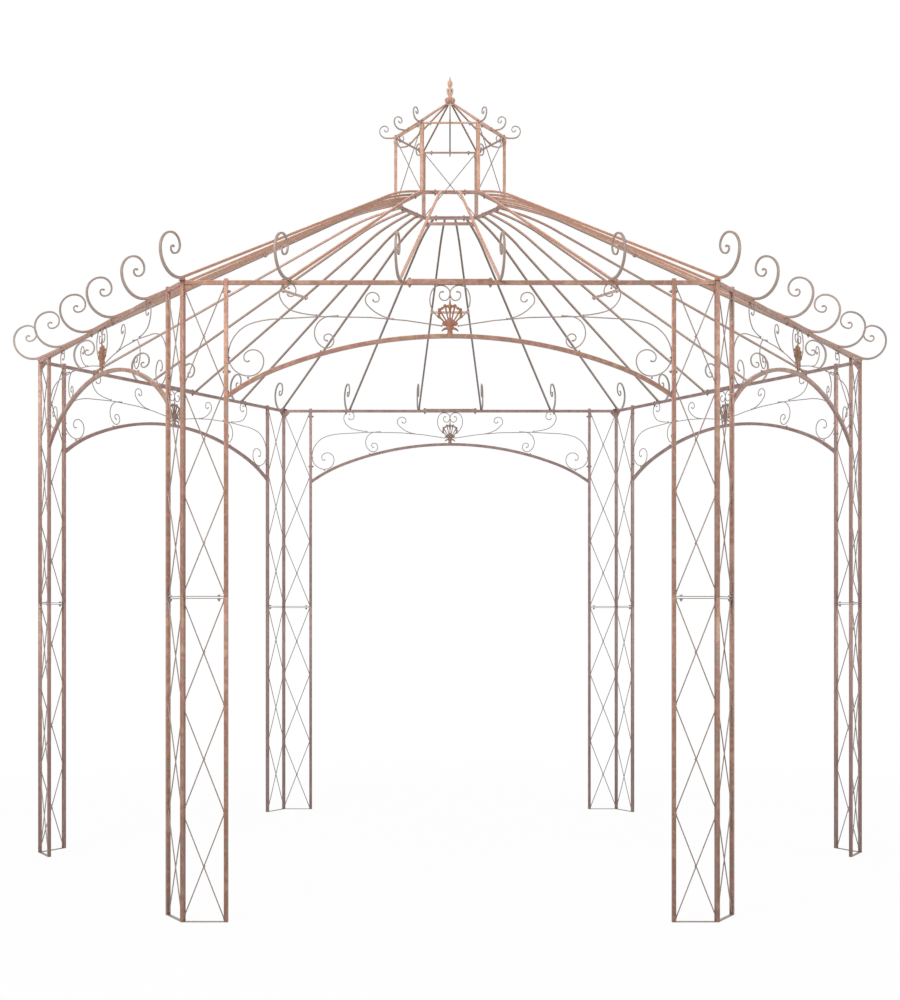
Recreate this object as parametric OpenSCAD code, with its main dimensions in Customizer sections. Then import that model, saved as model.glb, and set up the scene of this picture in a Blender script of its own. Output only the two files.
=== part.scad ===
// Hexagonal garden gazebo of painted iron: six V-shaped lattice posts, arched scrollwork
// between them, a roof of thirty curled rafters and a small lantern with a leaf finial.
// Millimetres, +Z up, origin on the ground at the centre. Side 1 faces -Y.

/* [Plan] */
// Length of one side, between the centres of two corner tubes
side = 2000; // [1700:50:2300]

/* [Posts] */
// Outside size of the square tubes
tube = 16; // [14:1:20]
// Distance from a corner tube to each of its side tubes
post_w = 162; // [140:2:200]
// Height of the joint between the lower and the upper post section
joint_z = 1215; // [1150:1:1280]
// Height of the top of the corner tubes and of the eaves
eaves_z = 2401; // [2350:1:2450]
// Distance that the side tubes stand above the eaves
side_lap = 7; // [2:1:12]
// Thickness of the round lattice rods
lattice_rod = 4.6; // [4:0.2:6]
// Thickness of the flat strips across the foot and the joint
strip_t = 3; // [2:0.5:4]
// Number of crosses, one above the other, in a post section
crosses = 3; // [2:1:4]

/* [Arches] */
// Height of the middle of the arch bar at the crown
crown_z = 2193; // [2150:1:2230]
// Radius of the arch bar's centre line
arch_r = 1780; // [1650:10:1900]
// Radius of its two ends, which drop a little faster to the posts
arch_end_r = 850; // [700:10:1700]
// Thickness of the scroll rods
scroll_rod = 4.6; // [4:0.2:7]

/* [Roof] */
// Thickness of the rafters and their curls
rafter_t = 10; // [8:1:16]
// Height of the packing piece between a corner tube and its hip rafter
packing = 8; // [5:0.5:10]
// Height of the top of the roof ring
ring_z = 3164; // [3100:2:3200]
// Distance from the axis to a corner of the roof ring
ring_r = 265; // [240:5:300]
// Distance along the eaves from the middle of a side to its two inner rafters
inner_rafter = 186; // [160:2:220]
// The same to its two outer rafters
outer_rafter = 600; // [560:5:640]
// Distance from the axis to the brace in each roof section, along the apothem
brace_a = 930; // [800:5:1000]
// Thickness of the brace
brace_t = 12; // [10:1:16]

/* [Lantern] */
// Height of the lantern's top rail above the roof ring
lantern_h = 320; // [280:5:360]
// Thickness of the lantern's posts
lantern_post = 15; // [10:1:16]
// Thickness of the lantern's small rafters
small_rafter = 7; // [6:1:10]
// Height of the peak, where the small rafters meet
peak_z = 3664; // [3630:2:3700]

/* [Hidden] */
SIDES = [1, 2, 3, 4, 5, 6];

iron = [0.62, 0.47, 0.40];
apothem = side * cos(30);
bay_half = side / 2 - post_w - tube / 2;      // half of the clear width between side tubes
joint_gap = 4.5;                              // between the two strips at a post joint
lower_end = joint_z - joint_gap / 2;
upper_start = joint_z + joint_gap / 2;
rod_rise = 5;                                 // from a strip to the lowest cross
corner_step = 18;                             // from a cross's end to its rod at the corner tube
side_step = 4;                                // the same at the side tube
weld = 1;                                     // bars run this far into what they meet
eaves_mid = eaves_z - tube / 2;
sleeve_half = 160;                            // the sleeve over the joint in an eaves bar
sleeve_t = tube + 4;
sleeve_rise = 5;                              // its back stands this far above the bar
arch_t = tube;
arch_top = crown_z + arch_t / 2;
shell_t = 9;
ring_t = 8;                                   // height of each of the two stacked rings
ring_w = 14;                                  // width of those rings in plan
ring_a = ring_r * cos(30);
rail_t = 8;
rail_z = ring_z + lantern_h;
curl_step = 9;                                // degrees turned in one straight piece of a curl
scroll_step = 12;                             // the same in the thin scrolls
arch_step = 2;                                // the same in the arch bar

// ---- paths made of tangent arcs --------------------------------------------------------
// A chain is a list of [radius, sweep]; a sweep over 0 turns left. [length, 0] is straight.

function heading(h) = [cos(h), sin(h)];
function along(seg, p, h, t) = seg[1] == 0
    ? p + seg[0] * t * heading(h)
    : p + seg[0] * sign(seg[1]) * (heading(h + 90) - heading(h + 90 + seg[1] * t));
function pieces(seg, step) = seg[1] == 0 ? 1 : ceil(abs(seg[1]) / step);

// Every point along a chain that starts at p with heading h
function chain_points(p, h, segs, step, i = 0) = i == len(segs) ? [p] : concat(
    [for (s = [0 : pieces(segs[i], step) - 1])
        along(segs[i], p, h, s / pieces(segs[i], step))],
    chain_points(along(segs[i], p, h, 1), h + segs[i][1], segs, step, i + 1));

// Points of a curve from a to b that leaves and arrives in line with c, without b
function curve(a, c, b, n) = [for (i = [0 : n - 1]) let (t = i / n)
    (1 - t) * (1 - t) * a + 2 * t * (1 - t) * c + t * t * b];

function unit(v) = v / norm(v);
function tangent_at(pts, i) = unit(
    (i < len(pts) - 1 ? unit(pts[i + 1] - pts[i]) : [0, 0])
    + (i > 0 ? unit(pts[i] - pts[i - 1]) : [0, 0]));
function left_of(v) = [-v[1], v[0]];
function offset_points(pts, d) = [for (i = [0 : len(pts) - 1])
    pts[i] + d * left_of(tangent_at(pts, i))];
function reversed(list) = [for (i = [len(list) - 1 : -1 : 0]) list[i]];

// A flat bar of width w that follows the points
module ribbon(pts, w) {
    polygon(concat(offset_points(pts, w / 2), reversed(offset_points(pts, -w / 2))));
}

// Stands a flat shape up: its x stays and its y becomes the height
module upright(thickness) {
    rotate([90, 0, 0]) linear_extrude(thickness, center = true) children();
}

// ---- placing ---------------------------------------------------------------------------
// Side k: x runs along the side, -y points outward, y = 0 is the middle of the bars
module on_side(k) {
    rotate([0, 0, 60 * (k - 1)]) translate([0, -apothem, 0]) children();
}

// Corner k lies between sides k and k + 1; x points outward
module on_corner(k) {
    rotate([0, 0, 60 * (k - 1) - 60]) translate([side, 0, 0]) children();
}

module mirrored() {
    children();
    mirror([1, 0, 0]) children();
}

module square_tube(size, low, high) {
    translate([-size / 2, -size / 2, low]) cube([size, size, high - low]);
}

// A straight round rod with six flats, between two points
module rod(from, to, d) {
    v = to - from;
    translate(from)
        rotate([0, atan2(norm([v[0], v[1]]), v[2]), atan2(v[1], v[0])])
            cylinder(h = norm(v), d = d, $fn = 6);
}

// ---- posts -----------------------------------------------------------------------------
// In a post panel the corner tube is at x = 0 and the side tube at x = post_w
module cross_strip(z) {
    translate([tube / 2 - weld, -tube / 2, z])
        cube([post_w - tube + 2 * weld, tube, strip_t]);
}

module lattice(low, high) {
    from = tube / 2 - weld;
    to = post_w - tube / 2 + weld;
    step = (high - low) / crosses;
    for (i = [0 : crosses - 1]) {
        z0 = low + i * step;
        z1 = z0 + step;
        rod([from, 0, z0 + corner_step], [to, 0, z1 - side_step], lattice_rod);
        rod([from, 0, z1 - corner_step], [to, 0, z0 + side_step], lattice_rod);
    }
}

module side_tube(low, high) {
    translate([post_w, 0, 0]) square_tube(tube, low, high);
}

module both_panels() {
    for (a = [120, 240]) rotate([0, 0, a]) children();
}

module post_lower(k) {
    color(iron) on_corner(k) {
        square_tube(tube, 0, joint_z);
        both_panels() {
            side_tube(0, joint_z);
            cross_strip(0);
            lattice(strip_t + rod_rise, lower_end - strip_t);
            cross_strip(lower_end - strip_t);
        }
    }
}

// The upper section also carries the ends of the eaves, from corner tube to side tube
module post_upper(k) {
    color(iron) on_corner(k) {
        square_tube(tube, joint_z, eaves_z);
        both_panels() {
            side_tube(joint_z, eaves_z + side_lap);
            cross_strip(upper_start);
            lattice(upper_start + strip_t + rod_rise, eaves_z - tube);
            translate([tube / 2 - weld, -tube / 2, eaves_z - tube])
                cube([post_w - tube + 2 * weld, tube, tube]);
        }
    }
}

// ---- eaves -----------------------------------------------------------------------------
module eaves_bar(k) {
    color(iron) on_side(k) translate([0, 0, eaves_mid]) {
        cube([2 * bay_half, tube, tube], center = true);
        translate([-sleeve_half, -sleeve_t / 2, -tube / 2])
            cube([2 * sleeve_half, sleeve_t, tube + sleeve_rise]);
    }
}

// ---- arch and scrolls ------------------------------------------------------------------
// Half of the arch bar, from the crown to the left side tube
module arch_half() {
    intersection() {
        ribbon(chain_points([0, crown_z], 180, [[arch_r, 21], [arch_end_r, 17]], arch_step), arch_t);
        translate([-bay_half, 0]) square([bay_half + weld, arch_top]);
    }
}

module scroll(x, z, h, segs) {
    ribbon(chain_points([x, z], h, segs, scroll_step), scroll_rod);
}

// The rods of the left half, in x and height
module scrolls() {
    // the long rod that leaves the shell and ends in the large scroll beside the post
    scroll(-30, 2231, 169.5, [[2082, 7.4], [2586, 8.2], [363, 11.3], [130, 71], [77, 94.4],
        [55, 104], [39, 121], [23, 69], [11, 105]]);
    // the branch that turns up to the eaves near the post
    scroll(-499, 2271, 177, [[365, -13], [84, -53], [43, -74], [28, -142], [19, -71], [15, -63]]);
    // the one that turns up half way along
    scroll(-212, 2257, 173, [[152, -43], [29, -64], [27, -96], [22, -67], [12, -152]]);
    // the one that turns down and rests on the arch
    scroll(-419, 2269, 178, [[178, 12], [62, 137], [29, 77], [27, 99], [17, 86], [12, 136]]);
    // half of the heart over the shell
    scroll(-36, 2260, 150, [[79, -85], [37, -110], [29, -87], [18, -70], [20, -80], [11, -95]]);
}

module arch_panel(k) {
    color(iron) on_side(k) {
        mirrored() {
            upright(arch_t) arch_half();
            upright(scroll_rod) scrolls();
        }
    }
}

// ---- shells ----------------------------------------------------------------------------
shell_hub = 26;                               // from the foot of a shell to its fan's centre
rib_tips = [[13, 89], [31, 83], [46, 65]];    // lean from upright, and length
webs = [[6, 79], [22, 77], [38.5, 66]];       // the same for the webs between them
rib_w = 5;
lobe_r = 7;
web_r = 6;
boss_z = 43;
boss_r = 17;
volute = [21, 41];
volute_r = 10.5;

// Half of the shell's foot, with its pointed leaf
foot_half = [[0, 0], [12, 0], [10, 5], [9.5, 14], [18, 16], [29, 10], [33, 14], [26, 23], [14, 30],
    [0, 40]];
// Half of the bud over the middle rib
bud_half = [[0, 30], [3, 30], [3.5, 66], [7, 76], [5.5, 88], [2.5, 100], [0, 113]];

module shell_shape() {
    translate([0, arch_top - weld]) {
        mirrored() {
            polygon(foot_half);
            translate(volute) circle(volute_r, $fn = 24);
            translate([0, shell_hub]) {
                polygon(bud_half);
                fan_half();
            }
        }
        translate([0, boss_z]) circle(boss_r, $fn = 36);
    }
}

// Ribs that widen into round lobes, joined by webs and with open slots between them
module fan_half() {
    for (tip = rib_tips) rotate(-tip[0]) {
        polygon([[-rib_w / 2, 0], [rib_w / 2, 0], [lobe_r / 2, tip[1] - lobe_r],
            [-lobe_r / 2, tip[1] - lobe_r]]);
        translate([0, tip[1] - lobe_r]) circle(lobe_r, $fn = 24);
    }
    for (web = webs) rotate(-web[0]) translate([0, web[1]]) circle(web_r, $fn = 24);
}

module arch_shells() {
    color(iron) for (k = SIDES) on_side(k) upright(shell_t) shell_shape();
}

// ---- roof ------------------------------------------------------------------------------
packing_run = 18;                             // length of a packing piece, along its rafter
roof_slope = 0.532;
bend_a = 520;                                 // where the bar starts to level off, by apothem
bend_z = 3051;
level_a = 400;
level_rise = 69;
edge_lift = 2.5;                              // a rafter bears on the outer edge of the eaves,
                                              // and is this far clear of their middle
curl_out = 35;                                // from the eaves to the lowest point of a curl
big_curl = [[92, 90], [70, 90], [40, 90], [36, 90], [15, 100], [11, 110]];

// Rafters lie in planes through the axis, so one off the apothem is longer and falls less
function stretch(angle_off) = 1 / cos(angle_off);
function fall(angle_off) = atan(roof_slope / stretch(angle_off));

// Lowest point of a curl, when the rafter's underside is lifted so far above the eaves
function curl_low(angle_off, lift) = let (r = big_curl[0][0], f = asin(curl_out / r))
    [apothem * stretch(angle_off) + curl_out,
     eaves_z + lift + rafter_t / 2 / cos(f) - r * (1 - cos(f))];

// Where the straight run of a rafter ends and its curl begins
function curl_start(angle_off, lift) = let (r = big_curl[0][0], f = fall(angle_off))
    curl_low(angle_off, lift) + r * [-sin(f), 1 - cos(f)];

// Height of the middle of a section's rafter on its straight run
function run_z(reach, angle_off) =
    let (start = curl_start(angle_off, edge_lift), bend = [bend_a * stretch(angle_off), bend_z])
    bend[1] + (start[1] - bend[1]) * (reach - bend[0]) / (start[0] - bend[0]);

module rafter(angle_off, lift) {
    s = stretch(angle_off);
    bend = [bend_a * s, bend_z];
    top = [(ring_a + ring_w / 2) * s, ring_z - ring_t];
    line = concat(curve(top, [level_a * s, bend_z + level_rise], bend, 8), [bend]);
    first = [big_curl[0][0], big_curl[0][1] + fall(angle_off)];
    curl = concat([first], [for (i = [1 : len(big_curl) - 1]) big_curl[i]]);
    upright(rafter_t) ribbon(concat(line,
        chain_points(curl_start(angle_off, lift), -fall(angle_off), curl, curl_step)), rafter_t);
}

// Over a corner, on a packing piece
module hip_rafter(k) {
    color(iron) rotate([0, 0, 60 * (k - 1) - 60]) {
        rafter(30, packing);
        translate([side - packing_run / 2, -rafter_t / 2, eaves_z])
            cube([packing_run, rafter_t, packing + weld]);
    }
}

// Under the two inner rafters of a section
module brace() {
    a = atan(inner_rafter / apothem);
    half = inner_rafter * brace_a / apothem + rafter_t / 2;
    rafter_low = run_z(brace_a * stretch(a), a) - rafter_t / 2 / cos(fall(a));
    translate([brace_a, 0, rafter_low - brace_t / 2 + weld])
        cube([brace_t, 2 * half, brace_t], center = true);
}

module roof_panel(k) {
    color(iron) rotate([0, 0, 60 * (k - 1) - 90]) {
        for (x = [-outer_rafter, -inner_rafter, inner_rafter, outer_rafter]) {
            a = atan(x / apothem);
            rotate([0, 0, a]) rafter(a, edge_lift);
        }
        brace();
    }
}

module hex_ring(r, w, low, h) {
    translate([0, 0, low]) linear_extrude(h) difference() {
        circle(r + w / 2 / cos(30), $fn = 6);
        circle(r - w / 2 / cos(30), $fn = 6);
    }
}

module roof_ring() {
    color(iron) hex_ring(ring_r, ring_w, ring_z - 2 * ring_t, 2 * ring_t);
}

// ---- lantern ---------------------------------------------------------------------------
module lantern_frame() {
    color(iron) {
        for (a = [0 : 60 : 300]) rotate([0, 0, a]) translate([ring_r, 0, 0])
            square_tube(lantern_post, ring_z, rail_z + rail_t / 2);
        hex_ring(ring_r, rail_t, rail_z - rail_t / 2, rail_t);
    }
}

module lantern_crosses() {
    half = ring_r / 2 - lantern_post / 2;
    color(iron) for (k = [2, 4, 6]) rotate([0, 0, 60 * (k - 1)]) translate([0, -ring_a, 0])
        for (s = [-1, 1])
            rod([-s * half, 0, ring_z + 4], [s * half, 0, rail_z - 8], lattice_rod);
}

hub_d = 50;
hub_h = 28;
hub_low = peak_z - 10;
level_run = 12;                               // half of the bend outside the rail
small_curl = [[20, 0], [34, 90], [25, 90], [17, 90], [11, 90], [7, 100]];

// From the hub, over the rail, a little further down and into its curl
module small_rafter_bar(angle_off) {
    rail_at = [ring_a / cos(angle_off), rail_z + (rail_t + small_rafter) / 2];
    slope = (peak_z - rail_at[1]) / rail_at[0];
    knee = rail_at + [level_run, -level_run * slope];
    line = concat([[hub_d / 2 - 6, peak_z - (hub_d / 2 - 6) * slope]],
        curve(rail_at, knee, knee + [level_run, 0], 4));
    ends = chain_points(knee + [level_run, 0], 0, small_curl, scroll_step);
    upright(small_rafter) ribbon(concat(line, ends), small_rafter);
}

module lantern_rafters() {
    color(iron) for (a = [0 : 30 : 330])
        rotate([0, 0, a]) small_rafter_bar(a % 60 == 0 ? 30 : 0);
}

module apex_hub() {
    color(iron) translate([0, 0, hub_low]) cylinder(h = hub_h, d = hub_d, $fn = 48);
}

// Radius and height above the hub, from the axis round the leaf bud
bud = [[0, 0], [10, 0], [9, 9], [17, 26], [17, 38], [8, 47], [8.5, 54], [12, 63], [10, 75], [4, 92],
    [0, 103]];

module finial() {
    color(iron) translate([0, 0, hub_low + hub_h]) rotate_extrude($fn = 48) polygon(bud);
}

for (k = SIDES) {
    post_lower(k);
    post_upper(k);
    eaves_bar(k);
    arch_panel(k);
    roof_panel(k);
    hip_rafter(k);
}
arch_shells();
roof_ring();
lantern_frame();
lantern_crosses();
lantern_rafters();
apex_hub();
finial();
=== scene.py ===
"""Antique copper painted iron gazebo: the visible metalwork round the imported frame.
Lengths in this file are millimetres until a piece is made; pieces are in metres."""
import math

import bpy
import numpy as np
from mathutils import Matrix, Vector


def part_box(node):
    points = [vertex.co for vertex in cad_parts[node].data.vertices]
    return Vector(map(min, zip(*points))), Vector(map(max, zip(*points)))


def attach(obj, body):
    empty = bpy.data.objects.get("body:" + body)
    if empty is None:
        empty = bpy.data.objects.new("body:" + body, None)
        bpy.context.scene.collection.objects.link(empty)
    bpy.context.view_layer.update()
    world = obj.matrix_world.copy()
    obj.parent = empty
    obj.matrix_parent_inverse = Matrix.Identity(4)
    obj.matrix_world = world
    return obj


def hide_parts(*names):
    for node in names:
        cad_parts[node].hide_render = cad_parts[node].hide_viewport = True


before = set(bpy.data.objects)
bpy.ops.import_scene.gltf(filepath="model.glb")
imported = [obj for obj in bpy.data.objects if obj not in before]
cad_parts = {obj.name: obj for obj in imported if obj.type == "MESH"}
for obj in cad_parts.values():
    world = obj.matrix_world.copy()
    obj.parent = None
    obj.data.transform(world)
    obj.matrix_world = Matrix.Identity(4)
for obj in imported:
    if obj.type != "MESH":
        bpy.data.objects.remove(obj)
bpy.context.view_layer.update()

MM = 0.001
SIDES = range(1, 7)


def top_of(node):
    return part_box(node)[1].z / MM


def foot_of(node):
    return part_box(node)[0].z / MM


# ---- sizes of the frame, as it was made ----
SIDE = 2000.0               # between two corner tubes
APOTHEM = SIDE * math.cos(math.radians(30))
TUBE = 16.0                 # square tube of the posts, eaves and arches
TUBE_CORNER = 1.9           # radius of its drawn corners
POST_W = 162.0              # corner tube to side tube
CORNER_FACE, SIDE_FACE = TUBE / 2, POST_W - TUBE / 2  # a panel lies between them
BAY_HALF = SIDE / 2 - POST_W - TUBE / 2
JOINT_Z = top_of("post_1_lower")
TUBE_TOP = top_of("post_1_upper")
EAVES_Z = TUBE_TOP - 7      # the side tubes stand a little above the eaves
STRIP_T = 3.0
STRIP_GAP = 2.25            # from the joint to the strips above and below it
LOWER_STRIP = JOINT_Z - STRIP_GAP - STRIP_T
UPPER_STRIP = JOINT_Z + STRIP_GAP
STRIP_BOLT = POST_W - 27    # where a bolt holds the two strips together
LATTICE_ROD = 4.6
CROSSES = 3                 # in a post section, one above the other
ROD_RISE = 5.0              # from a strip to the lowest cross
CORNER_STEP, SIDE_STEP = 18.0, 4.0  # from a cross's ends to its rods, at each tube
ARCH_BOLTS = (2360, 2060)   # heights of the bolts that hold an arch panel
SLEEVE_HALF = 160.0         # the joining sleeve in the middle of the eaves
SLEEVE_BOLT = 151.0
SLEEVE_RISE = 5.0           # its back, above the bar
STUD_X = 625.0              # studs over the outer scrolls
SCROLL_ROD = 4.6
CROWN_Z = 2193.0            # middle of the arch bar at its crown
ARCH_ARCS = ((1780, 21), (850, 17))  # radius and sweep, from the crown outward
SHELL_FOOT = CROWN_Z + TUBE / 2 - 1
RAFTER = 10.0
PACKING = 8.0               # between a corner tube and its hip rafter
EDGE_LIFT = 2.5             # other rafters bear on the outer edge of the eaves
RAFTER_OFFSETS = (-600.0, -186.0, 186.0, 600.0)  # where they land on a side
ROOF_SLOPE = 0.532
ROOF_BEND = (520.0, 3051.0)  # where the slope runs into the bend below the ring
BEND_PULL = (400.0, 69.0)   # distance from the axis and rise of that bend's knee
BRACE_A = 930.0
BRACE_T = 12.0
RING_TOP = top_of("roof_ring")
RING_R = 265.0
RING_W = 14.0
RING_T = 8.0
RING_A = RING_R * math.cos(math.radians(30))
RING_BOLT = 70.0            # from the middle of a side of the ring
LANTERN_POST = 15.0
RAIL_T = 8.0
RAIL_Z = top_of("lantern_frame") - RAIL_T / 2
RAIL_CLAMP = 93.0           # from the middle of a side of the rail
SMALL_RAFTER = 7.0
HUB_LOW = foot_of("apex_hub")
HUB_TOP = top_of("apex_hub")
PEAK_Z = HUB_LOW + 10
FINIAL_TOP = top_of("finial")

# how a bar's end is forged: the share of its size it is drawn down to and over what length,
# and the share and length of the swollen tip
RAFTER_END = (0.58, 360, 0.76, 12)
SMALL_RAFTER_END = (0.6, 190, 0.75, 8)
SCROLL_END = (0.96, 60, 1.4, 13)

X, Y, Z = (1, 0, 0), (0, 1, 0), (0, 0, 1)
FRONT, DOWN = (0, -1, 0), (0, 0, -1)

chance = np.random.default_rng(7)


# ---- metalwork: points and faces of one piece ----
class Metalwork:
    """Collects bars, rods and beads. rub is how far the paint is scuffed off at a point, which
    also lays a painted highlight along the corners, and bare how thin it is over the grey
    undercoat there, both 0 to 1."""

    def __init__(self):
        self.points, self.faces, self.rub, self.bare = [], [], [], []
        self.count = 0

    def add(self, points, faces, rub=0.0, bare=0.0):
        points = np.asarray(points, float).reshape(-1, 3)
        self.points.append(points)
        self.rub.append(np.broadcast_to(rub, len(points)))
        self.bare.append(np.broadcast_to(bare, len(points)))
        self.faces.extend([[i + self.count for i in face] for face in faces])
        self.count += len(points)

    def placed(self, *places):
        """A copy at each place, all in one."""
        points = np.vstack(self.points)
        rub, bare = np.concatenate(self.rub), np.concatenate(self.bare)
        made = Metalwork()
        for place in places:
            matrix = np.array(place)
            moved = points @ matrix[:3, :3].T + matrix[:3, 3]
            flip = np.linalg.det(matrix[:3, :3]) < 0
            made.add(moved, [f[::-1] for f in self.faces] if flip else self.faces, rub, bare)
        return made

    def join(self, other):
        self.add(np.vstack(other.points), other.faces, np.concatenate(other.rub),
                 np.concatenate(other.bare))


def turn(degrees):
    """A turn about the axis; what is made along x then runs out from the axis at that angle."""
    return Matrix.Rotation(math.radians(degrees), 4, "Z")


def shift(x, y, z=0.0):
    return Matrix.Translation((x, y, z))


AS_MADE, MIRROR = Matrix.Identity(4), Matrix.Scale(-1, 4, X)


def on_side(k):
    """x along the side, -y outward, y = 0 in the middle of the bars."""
    return turn(60 * (k - 1)) @ shift(0, -APOTHEM)


def on_corner(k):
    """x outward from the corner between sides k and k + 1."""
    return turn(60 * (k - 1) - 60) @ shift(SIDE, 0)


def unit(v):
    v = np.asarray(v, float)
    return v / np.linalg.norm(v, axis=-1, keepdims=True)


def aim(degrees):
    """The direction at an angle: its cosine and sine."""
    a = math.radians(degrees)
    return np.array([math.cos(a), math.sin(a)])


def left_of(v):
    return np.array([-v[1], v[0]])


def round_section(d, sides):
    a = np.arange(sides) * 2 * math.pi / sides
    return np.stack([np.cos(a), np.sin(a)], 1) * d / 2, np.zeros(sides)


def disc(sides):
    """A round outline of radius 1."""
    return round_section(2.0, sides)


def bar_section(width, height, radius, steps=3):
    """A rectangle with rounded corners, on which the paint is thin and a painted highlight runs.
    """
    points, rub = [], []
    inset = (width / 2 - radius, height / 2 - radius)
    ease = radius * 0.5
    for i, corner in enumerate(((1, 1), (-1, 1), (-1, -1), (1, -1))):
        centre = np.multiply(corner, inset)
        first = aim(90 * i)
        last = left_of(first)
        points.append(centre + radius * first - ease * last)
        rub.append(0.0)
        for s in range(steps + 1):
            points.append(centre + radius * aim(90 * (i + s / steps)))
            rub.append(0.25 + 0.75 * math.sin(math.pi * s / steps))
        points.append(centre + radius * last - ease * first)
        rub.append(0.0)
    return np.array(points), np.array(rub)


def square_section(width, radius, steps=3):
    return bar_section(width, width, radius, steps)


def skin(rings, sides, closed=False):
    """Faces over rings of points, with flat ends unless the rings close on themselves."""
    faces = []
    for i in range(rings if closed else rings - 1):
        a, b = i * sides, (i + 1) % rings * sides
        for j in range(sides):
            n = (j + 1) % sides
            faces.append([a + j, a + n, b + n, b + j])
    if not closed:
        faces.append(list(range(sides))[::-1])
        faces.append([(rings - 1) * sides + j for j in range(sides)])
    return faces


def bent(work, path, across, section, size=1.0, closed=False, bare=0.0):
    """A bar bent along a path that lies in one plane; across is square to that plane."""
    outline, rub = section
    path = np.asarray(path, float)
    across = unit(across)
    if closed:
        out_of = unit(np.roll(path, -1, 0) - path)
        into = np.roll(out_of, 1, 0)
    else:
        legs = unit(np.diff(path, axis=0))
        into, out_of = np.vstack([legs[:1], legs]), np.vstack([legs, legs[-1:]])
    tangent = unit(into + out_of)
    mitre = np.sum(tangent * out_of, 1)
    normal = np.cross(across, tangent) / mitre[:, None]
    size = np.asarray(size, float)
    if size.ndim < 2:
        size = np.stack([np.broadcast_to(size, len(path))] * 2, 1)
    u = size[:, :1] * outline[None, :, 0]
    v = size[:, 1:] * outline[None, :, 1]
    points = path[:, None] + u[:, :, None] * normal[:, None] + v[:, :, None] * across
    bare = np.repeat(np.broadcast_to(bare, len(path)), len(outline))
    work.add(points, skin(len(path), len(outline), closed), np.tile(rub, len(path)), bare)


def turned(work, base, axis, section, levels, along=None):
    """Rings of one outline up a straight axis: levels are (height, size) or (height, width,
    depth)."""
    outline, rub = section
    axis = unit(axis)
    if along is None:
        along = Z if abs(axis[2]) < 0.9 else X
    v = unit(np.cross(axis, along))
    u = np.cross(v, axis)
    points = []
    for level in levels:
        wide, deep = level[1], level[-1]
        ring = outline[:, :1] * wide * u + outline[:, 1:] * deep * v
        points.append(base + axis * level[0] + ring)
    work.add(np.vstack(points), skin(len(levels), len(outline)), np.tile(rub, len(levels)))


def short_bar(work, middle, along, half, across, section, bevel, end):
    """A straight bar with bevelled ends: bevel is their length and end the size left there."""
    path = [middle + np.multiply(along, d) for d in (-half, bevel - half, half - bevel, half)]
    bent(work, path, across, section, [end, 1, 1, end])


# ---- paths made of tangent arcs ----
def arcs(start, heading, segments, step):
    """Points along arcs, each (radius, sweep in degrees). A sweep over 0 turns left, and with
    a sweep of 0 the radius is the length of a straight."""
    p, h, points = np.array(start, float), heading, [np.array(start, float)]
    for radius, sweep in segments:
        ahead = aim(h)
        if sweep == 0:
            p = p + radius * ahead
            points.append(p)
            continue
        side = math.copysign(1, sweep)
        centre = p + radius * side * left_of(ahead)
        count = max(2, math.ceil(abs(sweep) / step))
        for i in range(1, count + 1):
            points.append(centre - radius * side * left_of(aim(h + sweep * i / count)))
        p, h = points[-1], h + sweep
    return np.array(points)


def eased(a, c, b, count):
    """A curve from a to b, in line with c at both ends."""
    t = np.linspace(0, 1, count)[:, None]
    return (1 - t) ** 2 * np.array(a) + 2 * t * (1 - t) * np.array(c) + t * t * np.array(b)


def upright(path):
    """A path in x and height, stood up in the plane y = 0."""
    path = np.asarray(path, float)
    return np.stack([path[:, 0], np.zeros(len(path)), path[:, 1]], 1)


def forged_end(path, thick, taper, taper_run, swell, swell_run):
    """Draws a bar down to taper over taper_run, and leaves a swollen, domed tip."""
    legs = np.linalg.norm(np.diff(path, axis=0), axis=1)
    to_end = np.append(np.cumsum(legs[::-1])[::-1], 0)
    size = 1 - (1 - taper) * np.clip(1 - (to_end - swell_run) / taper_run, 0, 1)
    size = size + (swell - taper) * np.clip(1 - to_end / swell_run, 0, 1) ** 0.7
    tip = unit(path[-1] - path[-2])
    reach = thick * swell / 2
    dome = [aim(a)[::-1] for a in (25, 50, 72, 86)]
    path = np.vstack([path] + [path[-1] + tip * reach * out for out, _ in dome])
    return path, np.concatenate([size, [swell * s for _, s in dome]])


# ---- fastenings and welds ----
HEX = disc(6)
ROUND = disc(14)


def bolt(work, at, axis, grip, size=6.0, through=True):
    """Hexagon head and washer at one face, and past the grip a washer, nut and screw end."""
    axis = unit(axis)
    head = size * 0.96
    washer = [(-0.3, size), (0.9, size), (1.2, size * 0.95)]
    turned(work, at, axis, ROUND, washer)
    turned(work, at + axis * 1.2, axis, HEX,
           [(0, head), (size * 0.55, head), (size * 0.66, head * 0.86)])
    if not through:
        return
    back = at - axis * grip
    turned(work, back, -axis, ROUND, washer)
    turned(work, back - axis * 1.2, -axis, HEX,
           [(0, head * 0.86), (0.6, head), (size * 0.7, head), (size * 0.82, head * 0.86)])
    turned(work, back - axis * 1.2, -axis, ROUND,
           [(0, size / 2), (size * 1.35, size / 2), (size * 1.5, size * 0.4)])


def rivet(work, at, axis, d=8.0):
    r = d / 2
    turned(work, at, axis, ROUND,
           [(-0.5, r), (0.3, r), (r * 0.42, r * 0.86), (r * 0.62, r * 0.55), (r * 0.7, r * 0.15)])


BEAD = disc(10)


def blob(work, at, axis, r, high):
    """A spot of weld on a face."""
    turned(work, at, axis, BEAD,
           [(-0.6, r), (high * 0.35, r * 0.95), (high * 0.75, r * 0.68), (high, r * 0.2)])


def bead(work, start, end, r=1.7):
    """A run of weld between two points, with its ripples."""
    run = np.subtract(end, start)
    length = np.linalg.norm(run)
    count = max(4, int(length / 1.3))
    levels = []
    for i in range(count + 1):
        swell = r * (0.86 + 0.14 * math.cos(i * math.pi))
        if i in (0, count):
            swell = r * 0.4
        levels.append((length * i / count, swell))
    turned(work, start, run, disc(8), levels)


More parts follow.
